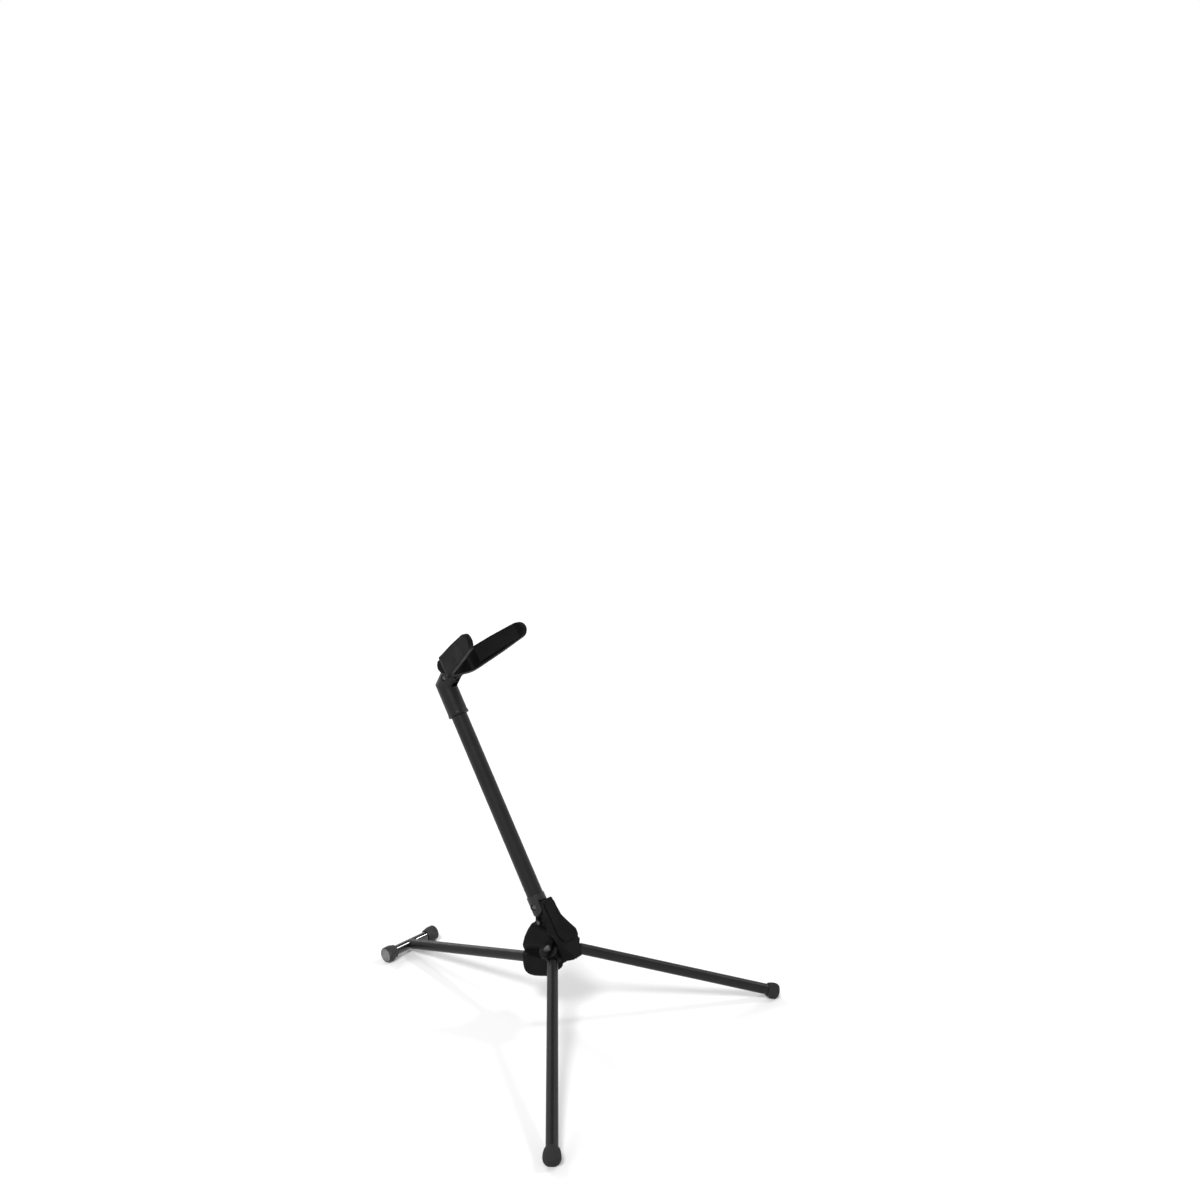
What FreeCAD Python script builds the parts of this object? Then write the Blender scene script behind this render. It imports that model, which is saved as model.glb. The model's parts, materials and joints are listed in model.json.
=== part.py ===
"""Folding saxophone stand.

A black hub holds a fixed rear leg with a cross foot, two front legs that swivel back beside it,
and a leaning post that folds down over it.  The post carries a mitred elbow and a forked yoke
for the bell; a saddle in front of the hub carries the bow.

Row frame, millimetres: +Z up, front of the stand towards -Y, +X across.  The origin is on the
floor, in the middle of the stand's footprint.
"""
import FreeCAD, Part
import math
import os

import Sketcher
from FreeCAD import Placement, Rotation, Vector

os.makedirs("parts", exist_ok=True)
doc = FreeCAD.newDocument("SaxophoneStand")

# ---------------------------------------------------------------- driving dimensions
SIZES = [
    ("hub_ahead", 28.2, "hub's plumb line in front of the footprint's centre"),
    ("tube_dia", 12.0, "leg tubes and cross foot, outside"),
    ("tube_wall", 1.0, "leg tubes, wall"),
    ("fit_gap", 0.05, "radial running clearance of pins"),
    ("rear_slope", 13.8, "rear leg below the horizontal, degrees"),
    ("rear_rise", 65.8, "height of the rear leg's axis at the hub's plumb line"),
    ("rear_inset", 6.0, "inner end of the rear leg behind the hub's plumb line"),
    ("crossbar_back", 232.0, "cross foot behind the hub's plumb line"),
    ("crossbar_length", 74.0, "cross foot tube"),
    ("cap_dia", 18.4, "cross foot's rubber caps"),
    ("cap_length", 15.0, "cross foot's rubber caps"),
    ("cap_wall", 3.0, "end wall of the rubber caps"),
    ("leg_splay", 48.4, "front leg's plan angle from straight ahead, degrees"),
    ("leg_slope", 17.3, "front leg below the horizontal, degrees"),
    ("leg_apex_fore", 6.9, "where the front legs' axes meet, ahead of the plumb line"),
    ("leg_apex_rise", 87.3, "where the front legs' axes meet, height"),
    ("leg_pivot_side", 14.0, "swivel pin from the middle plane"),
    ("leg_length", 252.6, "swivel pin to the end of the foot"),
    ("leg_fold_slope", 11.5, "folded front leg below the horizontal, degrees"),
    ("leg_fold_yaw", 2.0, "folded front leg outwards from straight back, degrees"),
    ("eye_dia", 18.0, "eye in the front leg's inner end"),
    ("eye_height", 11.2, "eye in the front leg's inner end"),
    ("washer_height", 0.8, "friction washer"),
    ("slot_play", 0.1, "gap between each washer and the eye"),
    ("swivel_pin_dia", 6.0, "front leg's swivel pin"),
    ("boss_dia", 22.0, "round boss over each swivel pin"),
    ("boss_height", 5.0, "round boss above and below the slot"),
    ("foot_dia", 17.6, "front leg's rubber foot"),
    ("foot_length", 13.5, "front leg's rubber foot"),
    ("foot_wall", 4.5, "end wall of the rubber foot"),
    ("hub_width", 25.0, "body of the hub, across"),
    ("hub_edge", 3.5, "rounding of the hub's edges"),
    ("neck_width", 18.0, "neck of the hub, across"),
    ("tongue_width", 11.9, "tongue that the post's clevis straddles"),
    ("tongue_dia", 19.2, "round end of the tongue"),
    ("cradle_width", 32.0, "bow cradle at its widest"),
    ("bow_ring", 69.0, "bow centre line's radius that the cradle is shaped for"),
    ("bow_tube", 39.2, "bow tube's radius that the pad is shaped for"),
    ("pad_height", 2.5, "cradle pad"),
    ("post_dia", 18.6, "post tube, outside"),
    ("post_wall", 1.2, "post tube, wall"),
    ("post_lean", 32.0, "post back from the vertical, degrees"),
    ("post_mitre", 268.6, "pivot pin to the middle of the elbow's mitre"),
    ("post_pin_dia", 6.0, "post's pivot pin"),
    ("clevis_dia", 20.6, "clevis in the foot of the post"),
    ("clevis_slot", 12.1, "clevis slot"),
    ("clevis_top", 12.0, "pivot pin to the lower end of the post tube"),
    ("sleeve_dia", 23.2, "elbow sleeve, outside"),
    ("sleeve_length", 38.0, "sleeve below the mitre"),
    ("elbow_socket", 6.0, "post tube's end below the mitre"),
    ("elbow_reach", 13.4, "mitre to the yoke pin"),
    ("yoke_pin_dia", 5.0, "yoke pin"),
    ("yoke_slot", 8.2, "slot between the elbow's ears"),
    ("yoke_tongue", 8.0, "tongue of the yoke"),
    ("yoke_rise", 35.0, "yoke's arms above the horizontal, degrees"),
    ("yoke_offset", 6.4, "middle of the band above the yoke pin, square to the arms"),
]

sheet = doc.addObject("Spreadsheet::Sheet", "Sizes")
for line, (alias, value, note) in enumerate(SIZES, start=1):
    sheet.set(f"A{line}", note)
    sheet.set(f"B{line}", str(value))
    sheet.setAlias(f"B{line}", alias)
doc.recompute()


def size(alias):
    """The value of one cell."""
    return float(sheet.get(alias))


def bind(feature, **expressions):
    """Drive a feature's properties from the sheet."""
    for name, expression in expressions.items():
        feature.setExpression(name, expression)
    return feature


# ---------------------------------------------------------------- places and directions
ACROSS = Vector(1, 0, 0)
AHEAD = Vector(0, -1, 0)
UP = Vector(0, 0, 1)


def point(side, fore, up):
    """A point given across, ahead of the hub's plumb line, and above the floor."""
    return Vector(side, -fore - size("hub_ahead"), up)


def slanted(fore_angle, pitch):
    """Direction turned from straight ahead towards +X by fore_angle and raised by pitch."""
    turn = math.radians(fore_angle)
    raised = math.radians(pitch)
    flat = math.cos(raised)
    return Vector(flat * math.sin(turn), -flat * math.cos(turn), math.sin(raised))


def aimed(base, axis, near_x=ACROSS):
    """Placement whose +Z looks along axis, with +X as near as possible to near_x."""
    return Placement(base, Rotation(near_x, axis.cross(near_x), axis, "ZXY"))


def across(side, fore, up):
    """Placement of something that runs along +X from the given point."""
    return aimed(point(side, fore, up), ACROSS, UP)


SIDE_VIEW = Placement(point(0, 0, 0), Rotation(AHEAD, UP, -ACROSS, "ZXY"))
FRONT_VIEW = Placement(point(0, 0, 0), Rotation(ACROSS, UP, AHEAD, "ZXY"))
TOP_VIEW = Placement(point(0, 0, 0), Rotation(ACROSS, AHEAD, -UP, "ZXY"))

POST_PIVOT = point(0, -12.5, 126.0)
POST_AXIS = slanted(180, 90 - size("post_lean"))
MITRE = POST_PIVOT + POST_AXIS * size("post_mitre")
ELBOW_AXIS = slanted(0, 90 - size("post_lean"))
YOKE_PIVOT = MITRE + ELBOW_AXIS * size("elbow_reach")
REAR_AXIS = slanted(180, -size("rear_slope"))
REAR_START = point(0, 0, size("rear_rise"))
REAR_SPAN = size("crossbar_back") / math.cos(math.radians(size("rear_slope")))
CROSSBAR = REAR_START + REAR_AXIS * REAR_SPAN
BOW_CENTRE = (95.0, 190.0)
BIG = 400.0


# ---------------------------------------------------------------- building blocks
def cylinder(name, place, radius, height, angle="360"):
    """Part cylinder on placement's +Z, sizes given as sheet expressions."""
    feature = doc.addObject("Part::Cylinder", name)
    bind(feature, Radius=radius, Height=height, Angle=angle)
    feature.Placement = place
    return feature


def rod(name, place, radius, start, end):
    """Cylinder between two distances along placement's +Z, given in millimetres."""
    foot = place.multVec(Vector(0, 0, start))
    return cylinder(name, Placement(foot, place.Rotation), radius, str(end - start))


def block(name, place, low, high):
    """Box between two corners in the frame of a placement."""
    feature = doc.addObject("Part::Box", name)
    feature.Length = high[0] - low[0]
    feature.Width = high[1] - low[1]
    feature.Height = high[2] - low[2]
    feature.Placement = place.multiply(Placement(Vector(*low), Rotation()))
    return feature


def fuse(name, *shapes):
    feature = doc.addObject("Part::MultiFuse", name)
    feature.Shapes = list(shapes)
    feature.Refine = True
    return feature


def common(name, *shapes):
    feature = doc.addObject("Part::MultiCommon", name)
    feature.Shapes = list(shapes)
    return feature


def cut(name, base, *tools):
    feature = doc.addObject("Part::Cut", name)
    feature.Base = base
    feature.Tool = tools[0] if len(tools) == 1 else fuse(name + "_cutters", *tools)
    return feature


def rounded(name, base, radius, wanted):
    """Fillet the edges that wanted(edge) picks."""
    doc.recompute()
    feature = doc.addObject("Part::Fillet", name)
    feature.Base = base
    edges = base.Shape.Edges
    feature.Edges = [(number, radius, radius) for number, edge in enumerate(edges, 1) if wanted(edge)]
    return feature


def body_sketch(name, role):
    """A new body with an empty sketch on one of its origin planes."""
    body = doc.addObject("PartDesign::Body", name)
    sketch = body.newObject("Sketcher::SketchObject", name + "_sketch")
    plane = next(item for item in body.Origin.OriginFeatures if item.Role == role)
    sketch.AttachmentSupport = (plane, "")
    sketch.MapMode = "FlatFace"
    return body, sketch


def closed_outline(sketch, corners):
    """Straight closed outline, each corner held where it is."""
    count = len(corners)
    for index, (x, y) in enumerate(corners):
        after_x, after_y = corners[(index + 1) % count]
        sketch.addGeometry(Part.LineSegment(Vector(x, y, 0), Vector(after_x, after_y, 0)), False)
    for index in range(count):
        sketch.addConstraint(Sketcher.Constraint("Coincident", index, 2, (index + 1) % count, 1))
        sketch.addConstraint(Sketcher.Constraint("Block", index))


def prism(name, corners, width, place):
    """Outline padded both ways across its plane, width given as a sheet expression."""
    body, sketch = body_sketch(name, "XY_Plane")
    closed_outline(sketch, corners)
    pad = body.newObject("PartDesign::Pad", name + "_pad")
    pad.Profile = sketch
    pad.Midplane = True
    bind(pad, Length=width)
    body.Placement = place
    return body


def turned(name, corners, place):
    """Half outline of (radius, height) corners turned about placement's +Z."""
    body, sketch = body_sketch(name, "XZ_Plane")
    closed_outline(sketch, corners)
    revolution = body.newObject("PartDesign::Revolution", name + "_turn")
    revolution.Profile = sketch
    revolution.ReferenceAxis = (sketch, ["V_Axis"])
    revolution.Angle = 360
    body.Placement = place
    return body


def tube(name, place, outside, wall, length):
    """Round tube on placement's +Z: two circles padded, all sizes from the sheet."""
    body, sketch = body_sketch(name, "XY_Plane")
    for index, expression in enumerate((f"{outside} / 2", f"{outside} / 2 - {wall}")):
        sketch.addGeometry(Part.Circle(Vector(0, 0, 0), UP, 10.0 - index), False)
        sketch.addConstraint(Sketcher.Constraint("Coincident", index, 3, -1, 1))
        number = sketch.addConstraint(Sketcher.Constraint("Radius", index, 10.0 - index))
        sketch.setExpression(f"Constraints[{number}]", expression)
    pad = body.newObject("PartDesign::Pad", name + "_pad")
    pad.Profile = sketch
    bind(pad, Length=length)
    body.Placement = place
    return body


def domed_pin(name, place, radius, half_length, head_radius, head_height):
    """Pin with a low domed head at each end, centred on the placement."""
    crown = head_height * 0.6
    corners = [
        (0, -half_length - head_height), (head_radius * 0.6, -half_length - head_height),
        (head_radius, -half_length - head_height + crown), (head_radius, -half_length),
        (radius, -half_length), (radius, half_length),
        (head_radius, half_length), (head_radius, half_length + head_height - crown),
        (head_radius * 0.6, half_length + head_height), (0, half_length + head_height),
    ]
    return turned(name, corners, place)


nodes = {}


def node(name, feature):
    """Name a finished piece; the label is also its file's name."""
    feature.Label = name
    nodes[name] = feature
    return feature


# ---------------------------------------------------------------- front legs
SLOT_HALF = size("eye_height") / 2 + size("slot_play") + size("washer_height")
EYE_SHOULDER = 12.0
SPIGOT_END = 30.0
BOSS_TOP = SLOT_HALF + size("boss_height")


def floor_block(name):
    """Everything below the floor, for cutting flats on rubber parts."""
    return block(name, Placement(), (-BIG, -BIG, -50.0), (BIG, BIG, 0.0))


def leg_frame(sign):
    """Swivel frame of one front leg, its +Z up the pin and +X along the leg, and its fold angle."""
    deployed = slanted(sign * size("leg_splay"), -size("leg_slope"))
    folded = slanted(180 - sign * size("leg_fold_yaw"), -size("leg_fold_slope"))
    normal = deployed.cross(folded).normalize() * sign
    apex = point(0, size("leg_apex_fore"), size("leg_apex_rise"))
    pivot = apex + deployed * (size("leg_pivot_side") / abs(deployed.x))
    frame = Placement(pivot, Rotation(deployed, normal.cross(deployed), normal, "ZXY"))
    return frame, math.degrees(deployed.getAngle(folded))


def slot_cutter(side, sign):
    """Room that the eye and the tube of one front leg sweep between deployed and folded."""
    frame, fold = leg_frame(sign)
    half = SLOT_HALF
    room = size("tube_dia") / 2 + 0.5
    base = frame.multiply(Placement(Vector(0, 0, -half), Rotation()))
    folded = frame.multiply(Placement(Vector(), Rotation(UP, sign * fold)))
    first = base if sign > 0 else folded.multiply(Placement(Vector(0, 0, -half), Rotation()))
    reach = 90.0
    return fuse(
        side + "_slot",
        cylinder(side + "_slot_eye", base, "Sizes.eye_dia / 2 + 0.6", str(2 * half)),
        cylinder(side + "_slot_sweep", first, str(reach), str(2 * half), str(fold)),
        block(side + "_slot_open", frame, (0, -room, -half), (reach, room, half)),
        block(side + "_slot_shut", folded, (0, -room, -half), (reach, room, half)),
    )


def make_leg(side, sign):
    """Eye, tube, rubber foot and swivel pin of one front leg."""
    frame, _ = leg_frame(sign)
    along = aimed(frame.Base, frame.Rotation.multVec(ACROSS), frame.Rotation.multVec(UP))
    half = size("eye_height") / 2
    solid = fuse(
        side + "_eye_solid",
        rod(side + "_eye_ring", frame, "Sizes.eye_dia / 2", -half, half),
        rod(side + "_eye_neck", along, "5.4", 0.0, EYE_SHOULDER),
        rod(side + "_eye_spigot", along, "Sizes.tube_dia / 2 - Sizes.tube_wall", EYE_SHOULDER, SPIGOT_END),
    )
    hole = rod(side + "_eye_hole", frame, "Sizes.swivel_pin_dia / 2 + Sizes.fit_gap", -half - 1, half + 1)
    node(side + "_leg_eye", cut(side + "_eye", solid, hole))

    tube_start = Placement(along.multVec(Vector(0, 0, EYE_SHOULDER)), along.Rotation)
    length = f"Sizes.leg_length - Sizes.foot_wall - {EYE_SHOULDER}"
    node(side + "_leg_tube", tube(side + "_tube", tube_start, "Sizes.tube_dia", "Sizes.tube_wall", length))

    radius = size("foot_dia") / 2
    bore = size("tube_dia") / 2
    end = size("leg_length")
    mouth = end - size("foot_length")
    corners = [
        (0, end), (radius - 3.0, end), (radius - 1.2, end - 0.8), (radius - 0.3, end - 2.6),
        (radius, end - 5.2), (radius - 0.1, end - 8.0), (radius - 0.7, mouth + 3.0),
        (radius - 1.5, mouth), (bore, mouth), (bore, end - size("foot_wall")), (0, end - size("foot_wall")),
    ]
    rubber = turned(side + "_foot_rubber", corners, along)
    node(side + "_foot", cut(side + "_foot_cut", rubber, floor_block(side + "_floor")))

    pin = domed_pin(side + "_pin", frame, size("swivel_pin_dia") / 2, BOSS_TOP, 4.6, 1.8)
    node(side + "_leg_pin", pin)


def make_washers():
    """Thin washers above and below both eyes, one node."""
    rings = []
    for side, sign in (("left", -1), ("right", 1)):
        frame, _ = leg_frame(sign)
        for level, start in (("low", -SLOT_HALF), ("high", SLOT_HALF - size("washer_height"))):
            name = f"{side}_{level}_washer"
            end = start + size("washer_height")
            disc = rod(name + "_disc", frame, "Sizes.eye_dia / 2 - 0.6", start, end)
            hole = rod(name + "_hole", frame, "Sizes.swivel_pin_dia / 2", start - 1, end + 1)
            rings.append(cut(name, disc, hole))
    group = doc.addObject("Part::Compound", "washer_group")
    group.Links = rings
    node("leg_washers", group)


# ---------------------------------------------------------------- rear leg and cross foot
def make_rear_leg():
    """Fixed rear leg, its end plug, the cross foot with its screw, and two rubber caps."""
    start = REAR_START + REAR_AXIS * size("rear_inset")
    along = aimed(start, REAR_AXIS)
    length = f"{REAR_SPAN} - Sizes.rear_inset"
    whole = tube("rear_tube_whole", along, "Sizes.tube_dia", "Sizes.tube_wall", length)
    bar = aimed(CROSSBAR, ACROSS, UP)
    cope = rod("rear_cope", bar, "Sizes.tube_dia / 2", -20.0, 20.0)
    rivet_line = HUB_SCREWS["rear"]
    cross_hole = rod("rear_cross_hole", across(0, *rivet_line), str(SCREW_RADIUS), -10.0, 10.0)
    node("rear_leg_tube", cut("rear_tube", whole, cope, cross_hole))

    back = aimed(CROSSBAR, -REAR_AXIS)
    plug = rod("rear_plug_solid", back, "Sizes.tube_dia / 2 - Sizes.tube_wall", 7.5, 26.0)
    thread = rod("rear_plug_thread", back, "2.0", 7.0, 27.0)
    node("rear_leg_plug", cut("rear_plug", plug, thread))

    shaft = rod("crossbar_screw_shaft", back, "2.0", -6.0, 20.0)
    head = rod("crossbar_screw_head", back, "3.8", -8.2, -6.0)
    socket = rod("crossbar_screw_socket", back, "1.6", -8.3, -6.8)
    node("crossbar_screw", cut("crossbar_screw_cut", fuse("crossbar_screw_solid", shaft, head), socket))

    half = size("crossbar_length") / 2
    bar_start = Placement(bar.multVec(Vector(0, 0, -half)), bar.Rotation)
    whole_bar = tube("crossbar_whole", bar_start, "Sizes.tube_dia", "Sizes.tube_wall", "Sizes.crossbar_length")
    hole = rod("crossbar_hole", back, "2.0", -10.0, 10.0)
    node("crossbar_tube", cut("crossbar", whole_bar, hole))

    radius = size("cap_dia") / 2
    bore = size("tube_dia") / 2
    end = half + size("cap_wall")
    mouth = end - size("cap_length")
    corners = [
        (0, end), (radius - 1.1, end), (radius - 0.3, end - 0.5), (radius, end - 1.5),
        (radius, end - 8.0), (radius - 0.5, mouth + 4.6), (radius - 1.2, mouth + 2.4), (radius - 2.0, mouth),
        (bore, mouth), (bore, half), (0, half),
    ]
    for side, axis in (("left", -ACROSS), ("right", ACROSS)):
        rubber = turned(side + "_cap_rubber", corners, aimed(CROSSBAR, axis, UP))
        node("crossbar_cap_" + side, cut(side + "_cap", rubber, floor_block(side + "_cap_floor")))


# ---------------------------------------------------------------- hub
SCREW_RADIUS = 1.75
SCREW_HEAD_RADIUS = 3.2
HUB_SCREWS = {"low": (5.0, 58.6), "rear": (-13.0, 62.6), "neck": (3.0, 106.0)}
SCREW_TOP = {"low": 9.4, "rear": 9.4, "neck": 6.6}
SCREW_TIP = {"low": -9.5, "rear": -9.5, "neck": -7.0}
LOCK_PLACE = (-4.5, 111.0)
LOCK_RADIUS = 2.6
LOCK_FLANGE = 3.4
LOCK_SHOULDER = -6.5
CRADLE_SCREW_SIDE = 5.0
CRADLE_SCREW_PLACE = (14.6, 101.6)
CRADLE_SCREW_PITCH = 28.0

NECK_FRONT_LOW = (24.0, 84.0)
NECK_FRONT_HIGH = (7.7, 114.5)


def face_fore(up):
    """How far ahead the hub's flat front face, where the cradle sits, lies at a height."""
    low_fore, low_up = NECK_FRONT_LOW
    high_fore, high_up = NECK_FRONT_HIGH
    return low_fore + (high_fore - low_fore) * (up - low_up) / (high_up - low_up)


HUB_SIDE = [
    (-19, 44.5), (-24.2, 46), (-27.4, 49.6), (-28.6, 55), (-30, 70), (-29, 78.5), (-26, 88.5),
    (-21, 98.6), (-15, 107.6), (-4, 108), (11.5, 107), (24, 84), (30, 73), (13.5, 63), (12.5, 56),
    (8, 51.4), (-1.5, 48.2), (-11, 45.4),
]
NECK_SIDE = [(-16, 98), (-13, 107), (-8.5, 114.5), NECK_FRONT_HIGH, NECK_FRONT_LOW, (14, 84)]
TONGUE_SIDE = [(-13.4, 119), (-13.0, 104), (-1.0, 104), (-1.0, 117), (-2.6, 127)]
AHEAD_OF_HUB = [(60, 140), (60, 60), (face_fore(60), 60), NECK_FRONT_LOW, NECK_FRONT_HIGH]


def make_hub():
    """Body, neck and tongue in one, slotted for the legs, then split into two mirrored halves."""
    plain = prism("hub_body_plain", HUB_SIDE, "Sizes.hub_width", SIDE_VIEW)
    solids = [
        rounded("hub_body", plain, size("hub_edge"), lambda edge: True),
        prism("hub_neck", NECK_SIDE, "Sizes.neck_width", SIDE_VIEW),
        prism("hub_web", TONGUE_SIDE, "Sizes.tongue_width", SIDE_VIEW),
        rod("hub_tongue", aimed(POST_PIVOT, ACROSS, UP), "Sizes.tongue_dia / 2",
            -size("tongue_width") / 2, size("tongue_width") / 2),
        rod("hub_collar", aimed(REAR_START, REAR_AXIS), "9.5", 6.0, 31.0),
    ]
    pivot = aimed(POST_PIVOT, ACROSS, UP)
    cutters = [
        prism("hub_front_face", AHEAD_OF_HUB, "100", SIDE_VIEW),
        rod("hub_rear_socket", aimed(REAR_START, REAR_AXIS), "Sizes.tube_dia / 2", size("rear_inset"), 40.0),
        rod("hub_pivot_hole", pivot, "Sizes.post_pin_dia / 2", -20.0, 20.0),
        rod("hub_lock_bore", across(0, *LOCK_PLACE), str(LOCK_RADIUS + 0.05), -12.0, 0.0),
        rod("hub_lock_room", across(0, *LOCK_PLACE), str(LOCK_FLANGE + 0.1), LOCK_SHOULDER, 0.0),
    ]
    for name, place in HUB_SCREWS.items():
        line = across(0, *place)
        cutters.append(rod(f"hub_{name}_hole", line, str(SCREW_RADIUS), SCREW_TIP[name], SCREW_TOP[name]))
        cutters.append(rod(f"hub_{name}_sink", line, str(SCREW_HEAD_RADIUS + 0.2), SCREW_TOP[name], 20.0))
    for number, line in enumerate(cradle_screw_lines()):
        cutters.append(rod(f"hub_cradle_hole_{number}", line, "1.6", -12.0, 1.0))
    for side, sign in (("left", -1), ("right", 1)):
        frame, _ = leg_frame(sign)
        solids.append(rod(side + "_boss", frame, "Sizes.boss_dia / 2", -BOSS_TOP, BOSS_TOP))
        cutters.append(slot_cutter(side, sign))
        cutters.append(rod(side + "_pin_hole", frame, "Sizes.swivel_pin_dia / 2", -BOSS_TOP - 1, BOSS_TOP + 1))
        cutters.append(rod(side + "_pin_sink_low", frame, "5.0", -BOSS_TOP - 30, -BOSS_TOP))
        cutters.append(rod(side + "_pin_sink_high", frame, "5.0", BOSS_TOP, BOSS_TOP + 30))
    whole = cut("hub_whole", fuse("hub_solid", *solids), *cutters)
    for side, low, high in (("left", -60.0, 0.0), ("right", 0.0, 60.0)):
        keep = block(side + "_half_space", Placement(), (low, -BIG, -10), (high, BIG, BIG))
        node("hub_half_" + side, common(side + "_half", whole, keep))


def make_hub_screws():
    """Three screws that clamp the halves; the rear one also crosses the rear leg."""
    screws = []
    for name, place in HUB_SCREWS.items():
        line = across(0, *place)
        top = SCREW_TOP[name]
        shaft = rod(f"{name}_screw_shaft", line, str(SCREW_RADIUS), SCREW_TIP[name], top)
        head = rod(f"{name}_screw_head", line, str(SCREW_HEAD_RADIUS), top, top + 2.2)
        socket = rod(f"{name}_screw_socket", line, "1.4", top + 0.8, top + 3.0)
        screws.append(cut(f"{name}_screw", fuse(f"{name}_screw_solid", shaft, head), socket))
    group = doc.addObject("Part::Compound", "hub_screw_group")
    group.Links = screws
    node("hub_screws", group)


def make_lock():
    """Sprung button in the neck that holds the raised post, and its stack of cupped spring washers."""
    fore, up = LOCK_PLACE
    shoulder = LOCK_SHOULDER
    corners = [
        (0, shoulder - 5.2), (1.5, shoulder - 5.2), (LOCK_RADIUS - 0.2, shoulder - 4.7),
        (LOCK_RADIUS, shoulder - 4.2), (LOCK_RADIUS, shoulder), (LOCK_FLANGE, shoulder),
        (LOCK_FLANGE, shoulder + 1.0), (0, shoulder + 1.0),
    ]
    node("lock_button", turned("lock_button_body", corners, across(0, fore, up)))

    room = -shoulder - 1.0
    folds = 4
    inner, outer, band = 1.6, 2.5, 0.45
    near = [(outer if fold % 2 else inner, 0.1 + (room - 0.2) * fold / folds) for fold in range(folds + 1)]
    far = [(radius + band, along) for radius, along in reversed(near)]
    node("lock_spring", turned("lock_spring_body", near + far, across(shoulder + 1.0, fore, up)))


# ---------------------------------------------------------------- bow cradle
CRADLE_SIDE = [
    (0.0, 114.9), (0.0, 127), (-4.2, 133.8), (-3.4, 136), (2, 136), (40, 112),
    (32, 99), (38, 91.5), (43.6, 85.6), (44.6, 83), (43, 81), (36, 79), (face_fore(77.6), 77.6),
    (face_fore(114.9), 114.9),
]
CRADLE_TOP = [(-16.2, -10), (-16.2, 26), (-13.5, 33), (-6, 44.6), (6, 44.6), (13.5, 33), (16.2, 26), (16.2, -10)]
PAD_TOP = [(-14, -10), (-14, 24), (-11.4, 31), (-4, 42), (4, 42), (11.4, 31), (14, 24), (14, -10)]
CRADLE_FRONT = [
    (-8, 141), (-9, 120), (-15.2, 106), (-16, 99), (-14.6, 88), (-12, 74),
    (12, 74), (14.6, 88), (16, 99), (15.2, 106), (9, 120), (8, 141),
]
PAD_SIDE = [(-8, 134), (20, 134), (56, 112), (32, 99), (24, 99), (-8, 125)]
PAD_FRONT = [
    (-6.6, 141), (-7.6, 120), (-10.4, 112), (-13.4, 106), (-13, 102), (-9.6, 99), (-8, 96),
    (8, 96), (9.6, 99), (13, 102), (13.4, 106), (10.4, 112), (7.6, 120), (6.6, 141),
]


def cradle_screw_lines():
    """Two screw lines through the cradle into the hub's halves."""
    fore, up = CRADLE_SCREW_PLACE
    outwards = slanted(0, CRADLE_SCREW_PITCH)
    for side in (-CRADLE_SCREW_SIDE, CRADLE_SCREW_SIDE):
        yield aimed(point(side, fore, up), outwards)


def bow_room(name, radius):
    """The instrument's bow as a ring lying in the middle plane."""
    ring = doc.addObject("Part::Torus", name)
    bind(ring, Radius1="Sizes.bow_ring", Radius2=radius)
    ring.Placement = across(0, *BOW_CENTRE)
    return ring


def make_cradle():
    """Saddle block shaped to the bow, its soft pad and the two screws under the pad."""
    backing = "Sizes.bow_tube + Sizes.pad_height"
    front = prism("cradle_front", CRADLE_FRONT, "300", FRONT_VIEW)
    side_block = prism("cradle_side", CRADLE_SIDE, "Sizes.cradle_width", SIDE_VIEW)
    nose = prism("cradle_top", CRADLE_TOP, "400", TOP_VIEW)
    solid = common("cradle_block", front, side_block, nose)
    cutters = [bow_room("cradle_bow", backing), slot_cutter("cradle_left", -1), slot_cutter("cradle_right", 1)]
    screws = []
    for number, line in enumerate(cradle_screw_lines()):
        cutters.append(rod(f"cradle_hole_{number}", line, "1.6", -12.0, 30.0))
        cutters.append(rod(f"cradle_sink_{number}", line, "3.2", 1.6, 30.0))
        shaft = rod(f"cradle_screw_shaft_{number}", line, "1.6", -12.0, 1.6)
        head = rod(f"cradle_screw_head_{number}", line, "3.0", 1.6, 3.4)
        screws.append(fuse(f"cradle_screw_{number}", shaft, head))
    for side, sign in (("left", -1), ("right", 1)):
        frame, _ = leg_frame(sign)
        cutters.append(rod(f"cradle_{side}_boss_room", frame, "Sizes.boss_dia / 2 + 0.3", -BOSS_TOP, BOSS_TOP + 9))
    node("bow_cradle", cut("cradle", solid, *cutters))

    pad_front = prism("pad_front", PAD_FRONT, "300", FRONT_VIEW)
    pad_side = prism("pad_side", PAD_SIDE, "Sizes.cradle_width", SIDE_VIEW)
    pad_top = prism("pad_top", PAD_TOP, "400", TOP_VIEW)
    skin = common("pad_skin", pad_front, pad_side, pad_top, bow_room("pad_back", backing))
    node("cradle_pad", cut("pad", skin, bow_room("pad_bow", "Sizes.bow_tube")))

    group = doc.addObject("Part::Compound", "cradle_screw_group")
    group.Links = screws
    node("cradle_screws", group)


# ---------------------------------------------------------------- post and elbow
POST_PIN_REACH = 8.2
POST_PIN_HEAD = 3.2
YOKE_PIN_REACH = 9.4
YOKE_PIN_HEAD = 3.0


def head_sinks(name, place, head_radius, reach):
    """Two recesses that take the heads of a cross pin."""
    radius = str(head_radius + 0.3)
    return [rod(name + "_left", place, radius, -20.0, -reach), rod(name + "_right", place, radius, reach, 20.0)]


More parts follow.
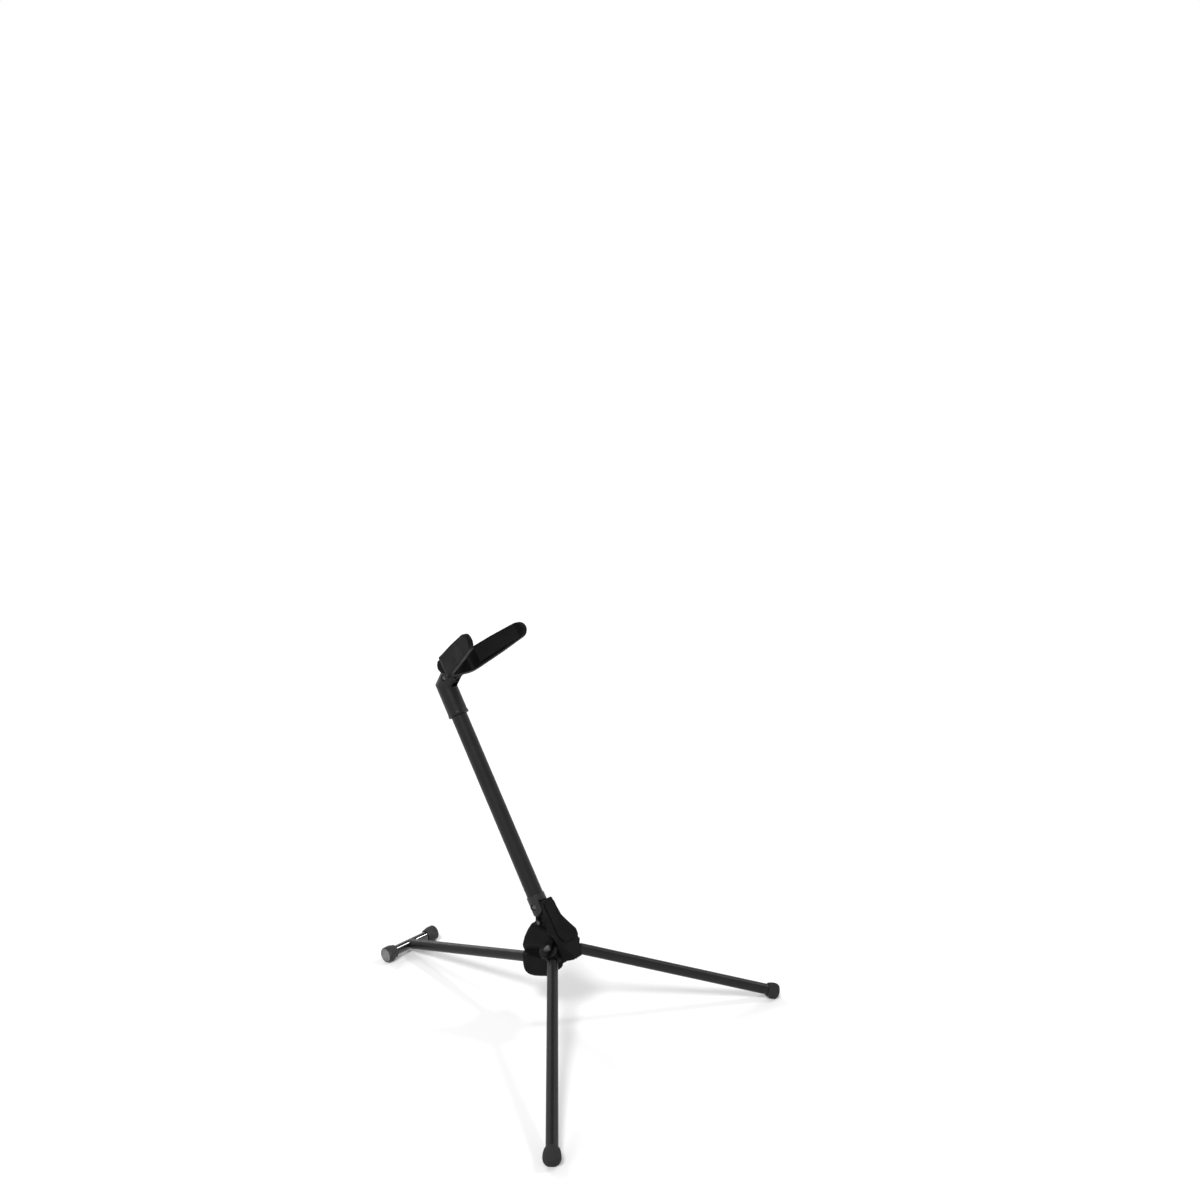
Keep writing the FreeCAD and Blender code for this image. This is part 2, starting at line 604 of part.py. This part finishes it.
def make_post():
    """Clevis with its pin, post tube, mitred elbow with its rivet, and the yoke pin."""
    line = aimed(POST_PIVOT, POST_AXIS)
    pivot = aimed(POST_PIVOT, ACROSS, UP)
    radius = size("clevis_dia") / 2
    slot = size("clevis_slot") / 2
    top = size("clevis_top")
    barrel = rod("clevis_barrel", line, "Sizes.clevis_dia / 2", -radius, top)
    ends = fuse(
        "clevis_ends",
        rod("clevis_round", pivot, "Sizes.clevis_dia / 2", -20.0, 20.0),
        block("clevis_upper", line, (-20, -20, 0), (20, 20, 20)),
    )
    plug = rod("clevis_plug", line, "Sizes.post_dia / 2 - Sizes.post_wall", top, top + 22)
    solid = fuse("clevis_solid", common("clevis_shape", barrel, ends), plug)
    tongue_room = rod("clevis_room", pivot, "Sizes.tongue_dia / 2 + 0.5", -slot, slot)
    lower_room = block("clevis_gap", line, (-slot, -20, -20), (slot, 20, 4.0))
    hole = rod("clevis_hole", pivot, "Sizes.post_pin_dia / 2 + Sizes.fit_gap", -20.0, 20.0)
    sinks = head_sinks("clevis_sink", pivot, POST_PIN_HEAD, POST_PIN_REACH)
    node("post_clevis", cut("clevis", solid, tongue_room, lower_room, hole, *sinks))

    pin_radius = size("post_pin_dia") / 2
    node("post_pin", domed_pin("post_pin_body", pivot, pin_radius, POST_PIN_REACH, POST_PIN_HEAD, 1.4))

    tube_start = Placement(line.multVec(Vector(0, 0, top)), line.Rotation)
    length = "Sizes.post_mitre - Sizes.elbow_socket - Sizes.clevis_top"
    whole = tube("post_tube_whole", tube_start, "Sizes.post_dia", "Sizes.post_wall", length)
    back = POST_AXIS.cross(ACROSS)
    rivet_spot = POST_PIVOT + POST_AXIS * (size("post_mitre") - 22.0)
    rivet_line = aimed(rivet_spot, back)
    outer = size("sleeve_dia") / 2
    rivet_hole = rod("post_rivet_hole", rivet_line, "2.0", 4.0, 20.0)
    node("post_tube", cut("post_tube_cut", whole, rivet_hole))

    shaft = rod("elbow_rivet_shaft", rivet_line, "2.0", size("post_dia") / 2 - 2.6, outer + 0.4)
    head = rod("elbow_rivet_head", rivet_line, "3.4", outer, outer + 1.3)
    node("elbow_rivet", fuse("elbow_rivet_solid", shaft, head))
    make_elbow(line, rivet_line, outer)


def make_elbow(line, rivet_line, outer):
    """Sleeve on the post, mitred into a short clevis that leans forward."""
    mitre = size("post_mitre")
    upper_line = aimed(MITRE, ELBOW_AXIS)
    pin_line = aimed(YOKE_PIVOT, ACROSS, UP)
    reach = size("elbow_reach")
    below = block("elbow_below", Placement(MITRE, Rotation()), (-40, -60, -120), (40, 60, 0))
    above = block("elbow_above", Placement(MITRE, Rotation()), (-40, -60, 0), (40, 60, 120))
    start = mitre - size("sleeve_length")
    sleeve = common("elbow_sleeve", rod("elbow_lower", line, "Sizes.sleeve_dia / 2", start, mitre + 12), below)
    lip = rod("elbow_lip", line, "Sizes.sleeve_dia / 2 + 0.5", start, start + 3.0)
    round_top = fuse(
        "elbow_top_round",
        rod("elbow_ear_round", pin_line, "Sizes.sleeve_dia / 2", -20.0, 20.0),
        block("elbow_under_pin", upper_line, (-20, -20, -20), (20, 20, reach)),
    )
    barrel = rod("elbow_upper", upper_line, "Sizes.sleeve_dia / 2", -20.0, reach + outer)
    ears = common("elbow_ears", barrel, above, round_top)
    solid = fuse("elbow_solid", sleeve, lip, ears)
    slot = size("yoke_slot") / 2
    cutters = [
        rod("elbow_bore", line, "Sizes.post_dia / 2", start - 1.0, mitre - size("elbow_socket")),
        rod("elbow_slot_round", pin_line, "12.6", -slot, slot),
        block("elbow_slot", upper_line, (-slot, -20, reach), (slot, 20, reach + 20)),
        rod("elbow_pin_hole", pin_line, "Sizes.yoke_pin_dia / 2", -20.0, 20.0),
        rod("elbow_rivet_hole", rivet_line, "2.0", 4.0, 20.0),
        *head_sinks("elbow_sink", pin_line, YOKE_PIN_HEAD, YOKE_PIN_REACH),
    ]
    node("elbow", cut("elbow_cut", solid, *cutters))
    radius = size("yoke_pin_dia") / 2
    node("yoke_pin", domed_pin("yoke_pin_body", pin_line, radius, YOKE_PIN_REACH, YOKE_PIN_HEAD, 1.3))


# ---------------------------------------------------------------- yoke
ARM_TIP = 98.6
BAND_FOOT = 14.6
TIP_LENGTH = 9.0
TIP_HALF = 9.4
TIP_ARC = [
    (ARM_TIP - TIP_LENGTH * (1 - math.cos(math.radians(turn))), TIP_HALF * math.sin(math.radians(turn)))
    for turn in range(-90, 91, 15)
]
YOKE_OUTSIDE = [(13.5, BAND_FOOT), (18.4, 15.6), (21.9, 18.8), (23.9, 22.8), (25.4, 28), (46, ARM_TIP)]
YOKE_INSIDE = [(9.5, 21.4), (13.6, 22.2), (16.4, 24.3), (18.2, 27.7), (19.4, 32), (39.2, ARM_TIP + 1.4)]
YOKE_SIDE = [(BAND_FOOT - 1, -12.5), (60, -11.3)] + TIP_ARC + [(60, 11.3), (BAND_FOOT - 1, 12.8)]
CHEEK_SIDE = [(20, -12.3), (8, -12.2), (4.4, -8.8), (2.8, -4.2), (5, 1.5), (12, 6), (20, 9)]
CHEEK_MIDDLE = 14.1
CHEEK_THICK = 3.6
YOKE_NECK_HALF = 7.0
YOKE_EYE_RADIUS = 9.4
PAD_RUN = (34.0, 92.0)
PAD_THICK = 2.6


def mirrored(half_outline):
    """Close a half outline with its mirror image."""
    return half_outline + [(-x, y) for x, y in reversed(half_outline)]


def yoke_plane():
    """Plane of the yoke's arms at its pin: +X across, +Y along the arms, +Z across the band."""
    arms = slanted(0, size("yoke_rise"))
    return Placement(YOKE_PIVOT, Rotation(ACROSS, arms, ACROSS.cross(arms), "ZXY"))


def make_yoke():
    """Forked band with a tongue and two rounded cheeks at its root, and a soft pad inside each arm."""
    plane = yoke_plane()
    normal = plane.Rotation.multVec(UP)
    arms = plane.Rotation.multVec(Vector(0, 1, 0))
    band_plane = Placement(YOKE_PIVOT - normal * size("yoke_offset"), plane.Rotation)
    side_plane = Placement(band_plane.Base, Rotation(arms, normal, arms.cross(normal), "ZXY"))
    outside = prism("yoke_outside", mirrored(YOKE_OUTSIDE), "50", band_plane)
    inside = prism("yoke_inside", mirrored(YOKE_INSIDE), "60", band_plane)
    side = prism("yoke_side", YOKE_SIDE, "200", side_plane)
    band = cut("yoke_band", common("yoke_shape", outside, side), inside)
    half = size("yoke_tongue") / 2
    pin_line = aimed(YOKE_PIVOT, ACROSS, UP)
    tongue = fuse(
        "yoke_tongue_solid",
        rod("yoke_eye", pin_line, str(YOKE_EYE_RADIUS), -half, half),
        block("yoke_neck", plane, (-half, 0, -YOKE_NECK_HALF), (half, BAND_FOOT + 1, YOKE_NECK_HALF)),
    )
    cheeks = []
    for side_name, sign in (("left", -1), ("right", 1)):
        plate = Placement(side_plane.Base + ACROSS * (sign * CHEEK_MIDDLE), side_plane.Rotation)
        cheeks.append(prism(f"yoke_cheek_{side_name}", CHEEK_SIDE, str(CHEEK_THICK), plate))
    hole = rod("yoke_hole", pin_line, "Sizes.yoke_pin_dia / 2 + Sizes.fit_gap", -20.0, 20.0)
    node("bell_yoke", cut("yoke", fuse("yoke_solid", band, tongue, *cheeks), hole))

    low_x, low_y = YOKE_INSIDE[-2]
    high_x, high_y = YOKE_INSIDE[-1]
    slope = (high_x - low_x) / (high_y - low_y)
    start, end = PAD_RUN
    for name, sign in (("left", -1), ("right", 1)):
        corners = [
            (sign * (low_x + (along - low_y) * slope - inwards), along)
            for along, inwards in ((start, 0), (end, 0), (end - 2.5, PAD_THICK), (start + 2.5, PAD_THICK))
        ]
        strip = prism(f"yoke_strip_{name}", corners, "17", band_plane)
        node("yoke_pad_" + name, strip)


# ---------------------------------------------------------------- build, check and write
for leg_side, leg_sign in (("left", -1), ("right", 1)):
    make_leg(leg_side, leg_sign)
make_washers()
make_rear_leg()
make_hub()
make_hub_screws()
make_lock()
make_cradle()
make_post()
make_yoke()
doc.recompute()

broken = [item.Name for item in doc.Objects if {"Invalid", "Error"} & set(item.State)]
if broken:
    raise RuntimeError("failed objects: " + ", ".join(broken))
for name, feature in nodes.items():
    if feature.Shape.isNull() or not feature.Shape.isValid():
        raise RuntimeError("bad shape: " + name)
for name, feature in nodes.items():
    feature.Shape.exportStep(f"parts/{name}.step")
    solids = len(feature.Shape.Solids)
    print(f"{name:20s} {solids} solid(s) {feature.Shape.Volume / 1000:8.2f} cm3")
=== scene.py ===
"""Looks of the folding saxophone stand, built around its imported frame.  Metres, same frame as the CAD."""
import json
import math

import bmesh
import bpy
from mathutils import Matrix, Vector


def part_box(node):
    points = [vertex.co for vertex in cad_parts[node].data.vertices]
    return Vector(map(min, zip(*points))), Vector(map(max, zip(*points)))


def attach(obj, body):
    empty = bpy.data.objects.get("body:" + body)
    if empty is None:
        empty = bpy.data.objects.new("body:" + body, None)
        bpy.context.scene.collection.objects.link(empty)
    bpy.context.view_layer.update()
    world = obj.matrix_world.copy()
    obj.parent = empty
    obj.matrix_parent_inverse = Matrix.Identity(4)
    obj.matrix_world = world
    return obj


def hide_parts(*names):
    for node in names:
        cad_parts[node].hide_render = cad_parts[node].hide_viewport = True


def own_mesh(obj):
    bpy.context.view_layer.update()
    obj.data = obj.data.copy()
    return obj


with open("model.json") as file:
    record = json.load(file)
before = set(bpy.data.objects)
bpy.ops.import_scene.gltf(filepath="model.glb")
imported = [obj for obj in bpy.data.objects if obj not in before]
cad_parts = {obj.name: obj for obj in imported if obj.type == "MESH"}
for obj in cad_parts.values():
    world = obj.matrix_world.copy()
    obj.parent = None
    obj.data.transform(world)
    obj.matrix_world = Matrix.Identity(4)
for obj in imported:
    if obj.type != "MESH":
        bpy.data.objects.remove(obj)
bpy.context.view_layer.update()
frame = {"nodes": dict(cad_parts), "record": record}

MM = 0.001


# ---------------------------------------------------------------- materials
def material(name, dark, light, rough, *, patch=25.0, grain=900.0, bump=0.12, depth=0.15, metallic=0.0,
             specular=0.5, coat=0.0, wear=None, speckle=0.0):
    """Procedural finish: two tones in broad patches, fine grain as bump, uneven gloss, worn edges."""
    mat = bpy.data.materials.new(name)
    mat.use_nodes = True
    nodes, links = mat.node_tree.nodes, mat.node_tree.links
    shader = nodes["Principled BSDF"]
    shader.inputs["Metallic"].default_value = metallic
    shader.inputs["Specular IOR Level"].default_value = specular
    shader.inputs["Coat Weight"].default_value = coat
    shader.inputs["Coat Roughness"].default_value = 0.04
    where = nodes.new("ShaderNodeTexCoord").outputs["Object"]

    def noise(scale, detail):
        texture = nodes.new("ShaderNodeTexNoise")
        texture.inputs["Scale"].default_value = scale
        texture.inputs["Detail"].default_value = detail
        links.new(where, texture.inputs["Vector"])
        return texture.outputs["Fac"]

    def spread(source, low, high, start=0.3, end=0.7):
        remap = nodes.new("ShaderNodeMapRange")
        remap.inputs["From Min"].default_value = start
        remap.inputs["From Max"].default_value = end
        remap.inputs["To Min"].default_value = low
        remap.inputs["To Max"].default_value = high
        links.new(source, remap.inputs["Value"])
        return remap.outputs["Result"]

    def mixed(factor, first, second):
        mix = nodes.new("ShaderNodeMix")
        mix.data_type = "RGBA"
        links.new(factor, mix.inputs["Factor"])
        for socket, value in (("A", first), ("B", second)):
            target = next(s for s in mix.inputs if s.name == socket and s.type == "RGBA")
            if isinstance(value, tuple):
                target.default_value = (*value, 1.0)
            else:
                links.new(value, target)
        return next(s for s in mix.outputs if s.type == "RGBA")

    broad = noise(patch, 4.0)
    colour = mixed(spread(broad, 0.0, 1.0), dark, light)
    if speckle:
        fleck = noise(grain * 1.7, 2.0)
        lighter = tuple(min(1.0, c * 2.2 + 0.01) for c in light)
        colour = mixed(spread(fleck, 0.0, speckle, 0.62, 0.72), colour, lighter)
    if wear:
        edge = nodes.new("ShaderNodeNewGeometry").outputs["Pointiness"]
        scuffs = noise(160.0, 5.0)
        rubbed = nodes.new("ShaderNodeMath")
        rubbed.operation = "MULTIPLY"
        links.new(spread(edge, 0.0, 1.0, 0.52, 0.62), rubbed.inputs[0])
        links.new(spread(scuffs, 0.0, 0.8, 0.45, 0.7), rubbed.inputs[1])
        colour = mixed(rubbed.outputs["Value"], colour, wear)
    links.new(colour, shader.inputs["Base Color"])
    gloss = noise(patch * 3.1, 6.0)
    links.new(spread(gloss, rough[0], rough[1]), shader.inputs["Roughness"])
    relief = nodes.new("ShaderNodeBump")
    relief.inputs["Strength"].default_value = bump
    relief.inputs["Distance"].default_value = depth * MM
    links.new(noise(grain, 6.0), relief.inputs["Height"])
    links.new(relief.outputs["Normal"], shader.inputs["Normal"])
    return mat


FINISHES = {
    "powder_coat": material("powder_coat", (0.0048, 0.0048, 0.0057), (0.0082, 0.0081, 0.0094), (0.36, 0.44),
                            patch=60.0, grain=1000.0, bump=0.55, depth=0.14, specular=0.24, speckle=0.3),
    "crossbar_coat": material("crossbar_coat", (0.0016, 0.0016, 0.0018), (0.003, 0.003, 0.0034), (0.04, 0.07),
                              grain=350.0, bump=0.05, depth=0.1, specular=0.4, coat=1.0),
    "hub_plastic": material("hub_plastic", (0.0016, 0.0016, 0.0018), (0.003, 0.003, 0.0033), (0.5, 0.66),
                            grain=1400.0, bump=0.9, depth=0.14, specular=0.08, speckle=0.15,
                            wear=(0.016, 0.016, 0.017)),
    "cradle_plastic": material("cradle_plastic", (0.002, 0.002, 0.0026), (0.0035, 0.0035, 0.0042),
                               (0.45, 0.6),
                               grain=1200.0, bump=0.8, depth=0.14, specular=0.1, speckle=0.15,
                               wear=(0.018, 0.018, 0.02)),
    "yoke_coat": material("yoke_coat", (0.0018, 0.0017, 0.0021), (0.0034, 0.0032, 0.0039), (0.46, 0.6),
                          grain=1100.0, bump=0.7, depth=0.14, specular=0.08, speckle=0.2,
                          wear=(0.015, 0.014, 0.017)),
    "rubber": material("rubber", (0.015, 0.015, 0.0158), (0.026, 0.026, 0.0268), (0.68, 0.86),
                       grain=1200.0, bump=0.6, depth=0.15, specular=0.18, speckle=0.25),
    "rubber_cap": material("rubber_cap", (0.022, 0.022, 0.0235), (0.046, 0.046, 0.0475), (0.62, 0.8),
                           patch=180.0, grain=1200.0, bump=0.8, depth=0.2, specular=0.22, speckle=0.4),
    # Pale grey painted on the caps' flat end faces: a painted highlight for the light those faces catch; the
    # cap rubber itself is the dark rubber_cap finish.
    "cap_end_painted_highlight": material("cap_end_painted_highlight", (0.13, 0.13, 0.132), (0.19, 0.19, 0.192), (0.6, 0.8),
                           patch=220.0, grain=1000.0, bump=0.9, depth=0.2, specular=0.3, speckle=0.4),
    "pad_foam": material("pad_foam", (0.004, 0.004, 0.0045), (0.0085, 0.0085, 0.009), (0.8, 0.95),
                         grain=1800.0, bump=1.0, depth=0.3, specular=0.12, speckle=0.3),
    "bright_steel": material("bright_steel", (0.5, 0.5, 0.51), (0.68, 0.68, 0.69), (0.14, 0.28),
                             grain=2500.0, bump=0.06, depth=0.05, metallic=1.0),
    "black_steel": material("black_steel", (0.006, 0.006, 0.007), (0.01, 0.01, 0.0115), (0.3, 0.42),
                            grain=1500.0, bump=0.2, depth=0.06, specular=0.35, wear=(0.05, 0.05, 0.053)),
    "dark_steel": material("dark_steel", (0.07, 0.07, 0.073), (0.12, 0.12, 0.124), (0.25, 0.38),
                           grain=2500.0, bump=0.08, depth=0.05, metallic=1.0),
    "washer_plastic": material("washer_plastic", (0.008, 0.008, 0.0085), (0.014, 0.014, 0.0145), (0.35, 0.5),
                               grain=1500.0, bump=0.15, depth=0.08),
    "spring_steel": material("spring_steel", (0.3, 0.3, 0.31), (0.45, 0.45, 0.46), (0.22, 0.36),
                             grain=2500.0, bump=0.1, depth=0.04, metallic=1.0),
}
SLOT_OF = {part["node"]: part["material_slot"] for part in frame["record"]["subparts"]}
BODY_OF = {name: body for body, names in frame["record"]["behaviour"]["bodies"].items() for name in names}


# ---------------------------------------------------------------- mesh helpers
def finished(obj, slot):
    """Smooth-shaded, with the finish of a material slot."""
    obj.data.materials.clear()
    obj.data.materials.append(FINISHES[slot])
    for face in obj.data.polygons:
        face.use_smooth = True
    return obj


def settle(obj, **modifiers):
    """Add modifiers given as TYPE={settings}, in order, and bake them into the mesh."""
    for kind, settings in modifiers.items():
        modifier = obj.modifiers.new(kind, kind)
        for key, value in settings.items():
            setattr(modifier, key, value)
    bpy.context.view_layer.update()
    graph = bpy.context.evaluated_depsgraph_get()
    baked = bpy.data.meshes.new_from_object(obj.evaluated_get(graph))
    obj.modifiers.clear()
    obj.data = baked
    return obj


def stand_for(obj, node):
    """Give a new piece its finish and its body, and hide the CAD node that it stands for."""
    slot = SLOT_OF[node]
    finished(obj, slot)
    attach(obj, BODY_OF[node])
    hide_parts(node)
    return obj


def placed(name, mesh):
    """New object for a mesh, in the scene."""
    obj = bpy.data.objects.new(name, mesh)
    bpy.context.scene.collection.objects.link(obj)
    return obj


def copied(name, node):
    """New piece that starts as a copy of a CAD node's mesh."""
    return placed(name, frame["nodes"][node].data.copy())


def moulded(name, node, voxel, smoothing):
    """Moulded or cast version of a CAD piece: same form, every edge softly rounded."""
    obj = copied(name, node)
    settle(obj, REMESH={"mode": "VOXEL", "voxel_size": voxel * MM})
    settle(obj, SMOOTH={"factor": 0.5, "iterations": smoothing})
    return stand_for(obj, node)


def lathe(name, profile, start, axis):
    """Smooth turned mesh: (radius, height) profile in metres about an axis from a start point."""
    turns = 96
    work = bmesh.new()
    side = axis.orthogonal().normalized()
    up = axis.cross(side).normalized()
    rings = []
    for radius, height in profile:
        centre = start + axis * height
        if radius == 0.0:
            rings.append([work.verts.new(centre)])
            continue
        ring = []
        for step in range(turns):
            angle = 2 * math.pi * step / turns
            ring.append(work.verts.new(centre + (side * math.cos(angle) + up * math.sin(angle)) * radius))
        rings.append(ring)
    for low, high in zip(rings, rings[1:]):
        for step in range(turns):
            after = (step + 1) % turns
            below = [low[step % len(low)], low[after % len(low)]]
            above = [high[after % len(high)], high[step % len(high)]]
            unique = list(dict.fromkeys(below + above))
            if len(unique) > 2:
                work.faces.new(unique)
    bmesh.ops.recalc_face_normals(work, faces=work.faces)
    mesh = bpy.data.meshes.new(name)
    work.to_mesh(mesh)
    work.free()
    return placed(name, mesh)


def flattened(obj):
    """Press whatever lies below the floor up onto it, as the sole's flat."""
    for vertex in obj.data.vertices:
        vertex.co.z = max(vertex.co.z, 0.0)
    return obj


def rounded_profile(corners, radius):
    """Profile with its inner corners turned into short arcs."""
    steps = 5
    longest_share = 0.45
    points = [corners[0]]
    for before, corner, after in zip(corners, corners[1:], corners[2:]):
        here = Vector(corner)
        back = Vector(before) - here
        onward = Vector(after) - here
        reach = min(radius, back.length * longest_share, onward.length * longest_share)
        first = here + back.normalized() * reach
        last = here + onward.normalized() * reach
        for step in range(steps + 1):
            t = step / steps
            spot = first * (1 - t) ** 2 + here * 2 * t * (1 - t) + last * t ** 2
            points.append((spot.x, spot.y))
    points.append(corners[-1])
    return points


# ---------------------------------------------------------------- camera, floor and light
def make_stage():
    """Camera, a plain pale floor, a pale sky that darkens upwards, and three soft lamps."""
    camera = bpy.data.objects.new("camera", bpy.data.cameras.new("camera"))
    camera.data.sensor_width = 36.0
    camera.data.lens = 34.87
    camera.location = (-0.8875, -0.8368, 0.6928)
    camera.rotation_euler = (math.radians(79.541), 0.0, math.radians(-50.415))
    bpy.context.scene.collection.objects.link(camera)
    bpy.context.scene.camera = camera

    bpy.ops.mesh.primitive_circle_add(vertices=96, radius=30.0, fill_type="NGON", location=(0, 0, -0.0002))
    floor = bpy.context.object
    floor.name = "floor"
    pale = bpy.data.materials.new("pale_floor")
    pale.use_nodes = True
    shader = pale.node_tree.nodes["Principled BSDF"]
    shader.inputs["Base Color"].default_value = (0.92, 0.92, 0.92, 1.0)
    shader.inputs["Roughness"].default_value = 0.9
    floor.data.materials.append(pale)

    world = bpy.data.worlds.new("studio")
    world.use_nodes = True
    nodes, links = world.node_tree.nodes, world.node_tree.links
    direction = nodes.new("ShaderNodeTexCoord")
    height = nodes.new("ShaderNodeSeparateXYZ")
    links.new(direction.outputs["Generated"], height.inputs["Vector"])
    fade = nodes.new("ShaderNodeMapRange")
    fade.interpolation_type = "SMOOTHSTEP"
    for name, value in (("From Min", 0.32), ("From Max", 0.85), ("To Min", 1.0), ("To Max", 0.3)):
        fade.inputs[name].default_value = value
    links.new(height.outputs["Z"], fade.inputs["Value"])
    links.new(fade.outputs["Result"], nodes["Background"].inputs["Strength"])
    nodes["Background"].inputs["Color"].default_value = (1.0, 1.0, 1.0, 1.0)
    bpy.context.scene.world = world
    bpy.context.scene.view_settings.view_transform = "Standard"
    # name, direction to the lamp, strength, width in degrees; the fill draws the stripe on the cross foot
    for name, towards, power, width in (
        ("key", (-1.6, -0.7, 2.2), 1.7, 16.0),
        ("fill", (0.58, -0.3, 0.757), 0.6, 8.0),
        ("rim", (0.5, 1.8, 1.3), 0.7, 20.0),
    ):
        light = bpy.data.lights.new(name, "SUN")
        light.energy = power
        light.angle = math.radians(width)
        lamp = bpy.data.objects.new(name, light)
        lamp.rotation_euler = Vector(towards).to_track_quat("Z", "Y").to_euler()
        bpy.context.scene.collection.objects.link(lamp)


make_stage()

# ---------------------------------------------------------------- moulded and cast pieces
for moulding in (  # piece, CAD node, voxel in mm, rounds of smoothing
    ("hub_left", "hub_half_left", 0.42, 12),
    ("hub_right", "hub_half_right", 0.42, 12),
    ("cradle_shell", "bow_cradle", 0.42, 12),
    ("elbow_casting", "elbow", 0.42, 6),
    ("clevis_casting", "post_clevis", 0.36, 5),
    ("yoke_fork", "bell_yoke", 0.42, 14),
):
    moulded(*moulding)

# The lock's spring is copied with a mesh of its own. On the real stand it closes up as its button is pressed
# in, towards its fixed end at the hub's middle.
spring = stand_for(copied("spring_stack", "lock_spring"), "lock_spring")
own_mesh(spring)


# ---------------------------------------------------------------- soft pads
PAD_VOXEL = 0.35 * MM
PAD_SMOOTHING = 8
GROOVE_DEPTH = 0.45 * MM
GROOVE_SHARE = 0.45


def soft_pad(name, node, spacing, run, facing):
    """Foam pad with rounded rims and shallow moulded grooves across its open side, spacing in metres."""
    obj = copied(name, node)
    settle(obj, REMESH={"mode": "VOXEL", "voxel_size": PAD_VOXEL})
    settle(obj, SMOOTH={"factor": 0.5, "iterations": PAD_SMOOTHING})
    normals = [vertex.normal.copy() for vertex in obj.data.vertices]
    for vertex, normal in zip(obj.data.vertices, normals):
        open_side = min(1.0, 1.6 * max(0.0, normal.dot(facing)))
        wave = math.cos(2 * math.pi * vertex.co.dot(run) / spacing)
        groove = max(0.0, wave - 1.0 + GROOVE_SHARE) / GROOVE_SHARE
        vertex.co -= normal * (GROOVE_DEPTH * groove * open_side)
    stand_for(obj, node)
    return obj


ARM_RISE = math.radians(35.0)
ARMS = Vector((0.0, -math.cos(ARM_RISE), math.sin(ARM_RISE)))
TO_RIGHT = Vector((1, 0, 0))
soft_pad("yoke_cushion_left", "yoke_pad_left", 5.0 * MM, ARMS, TO_RIGHT)
soft_pad("yoke_cushion_right", "yoke_pad_right", 5.0 * MM, ARMS, -TO_RIGHT)
soft_pad("bow_cushion", "cradle_pad", 4.5 * MM, TO_RIGHT, Vector((0, -0.7, 0.7)))


# ---------------------------------------------------------------- rubber feet and caps
TUBE_BORE = 6.02
FOOT_WALL = 4.5
FOOT_LENGTH = 13.5
FOOT_HALF = 8.8
CAP_HALF = 9.2
NEAR_END = 13 * MM


def in_metres(corners):
    """Profile corners given in mm, as metres."""
    return [(radius * MM, height * MM) for radius, height in corners]


def middle_of(points):
    """Middle of the box around some points."""
    return Vector([(min(p[i] for p in points) + max(p[i] for p in points)) / 2 for i in range(3)])


def tube_line(node, near):
    """Centre of a tube node's far end face and its outward direction, from the mesh itself."""
    points = [Vector(v.co) for v in frame["nodes"][node].data.vertices]
    far = max(points, key=lambda p: (p - near).length)
    close = min(points, key=lambda p: (p - near).length)
    outer = middle_of([p for p in points if (p - far).length < NEAR_END])
    inner = middle_of([p for p in points if (p - close).length < NEAR_END])
    return outer, (outer - inner).normalized()


for foot_side in ("left", "right"):
    hub_middle = Vector((0.0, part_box("hub_half_left")[0].y, 0.09))
    tube_end, outward = tube_line(foot_side + "_leg_tube", hub_middle)
    mouth = FOOT_WALL - FOOT_LENGTH
    profile = rounded_profile(in_metres([
        (TUBE_BORE, mouth + 0.2), (FOOT_HALF - 1.9, mouth), (FOOT_HALF - 1.3, mouth + 0.7),
        (FOOT_HALF - 0.5, mouth + 3.4), (FOOT_HALF - 0.05, -2.6), (FOOT_HALF, -0.6),
        (FOOT_HALF - 0.3, FOOT_WALL - 2.4), (FOOT_HALF - 1.2, FOOT_WALL - 0.7), (FOOT_HALF - 3.0, FOOT_WALL),
        (3.2, FOOT_WALL), (2.8, FOOT_WALL - 0.5), (0.0, FOOT_WALL - 0.5),
    ]), 0.8 * MM)
    foot = flattened(lathe("foot_" + foot_side, profile, tube_end, outward))
    stand_for(foot, foot_side + "_foot")

for cap_side, outward in (("left", -TO_RIGHT), ("right", TO_RIGHT)):
    low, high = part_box("crossbar_cap_" + cap_side)
    bar_low, bar_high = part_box("crossbar_tube")
    end_x = low.x if cap_side == "left" else high.x
    middle = (bar_low + bar_high) / 2
    base = Vector((end_x, middle.y, middle.z))
    profile = rounded_profile(in_metres([
        (TUBE_BORE, -14.6), (CAP_HALF - 2.2, -15.0), (CAP_HALF - 1.5, -14.5), (CAP_HALF - 1.2, -12.6),
        (CAP_HALF - 0.5, -10.4), (CAP_HALF, -8.0), (CAP_HALF, -1.5), (CAP_HALF - 0.3, -0.5),
        (CAP_HALF - 1.1, 0.0), (CAP_HALF - 1.5, -0.02), (CAP_HALF - 1.8, -0.35), (0.0, -0.35),
    ]), 0.5 * MM)
    cap = flattened(lathe("cap_" + cap_side, profile, base, outward))
    stand_for(cap, "crossbar_cap_" + cap_side)
    # The flat end faces get the pale painted highlight; the sides keep the dark rubber.
    cap.data.materials[0] = FINISHES["rubber_cap"]
    cap.data.materials.append(FINISHES["cap_end_painted_highlight"])
    for face in cap.data.polygons:
        on_end_face = abs(face.normal.x) > 0.9 and abs(face.center.x - end_x) < 0.6 * MM
        if on_end_face:
            face.material_index = 1

# ---------------------------------------------------------------- CAD pieces shown as they are
for name, obj in frame["nodes"].items():
    if not obj.hide_render:
        finished(obj, SLOT_OF[name])
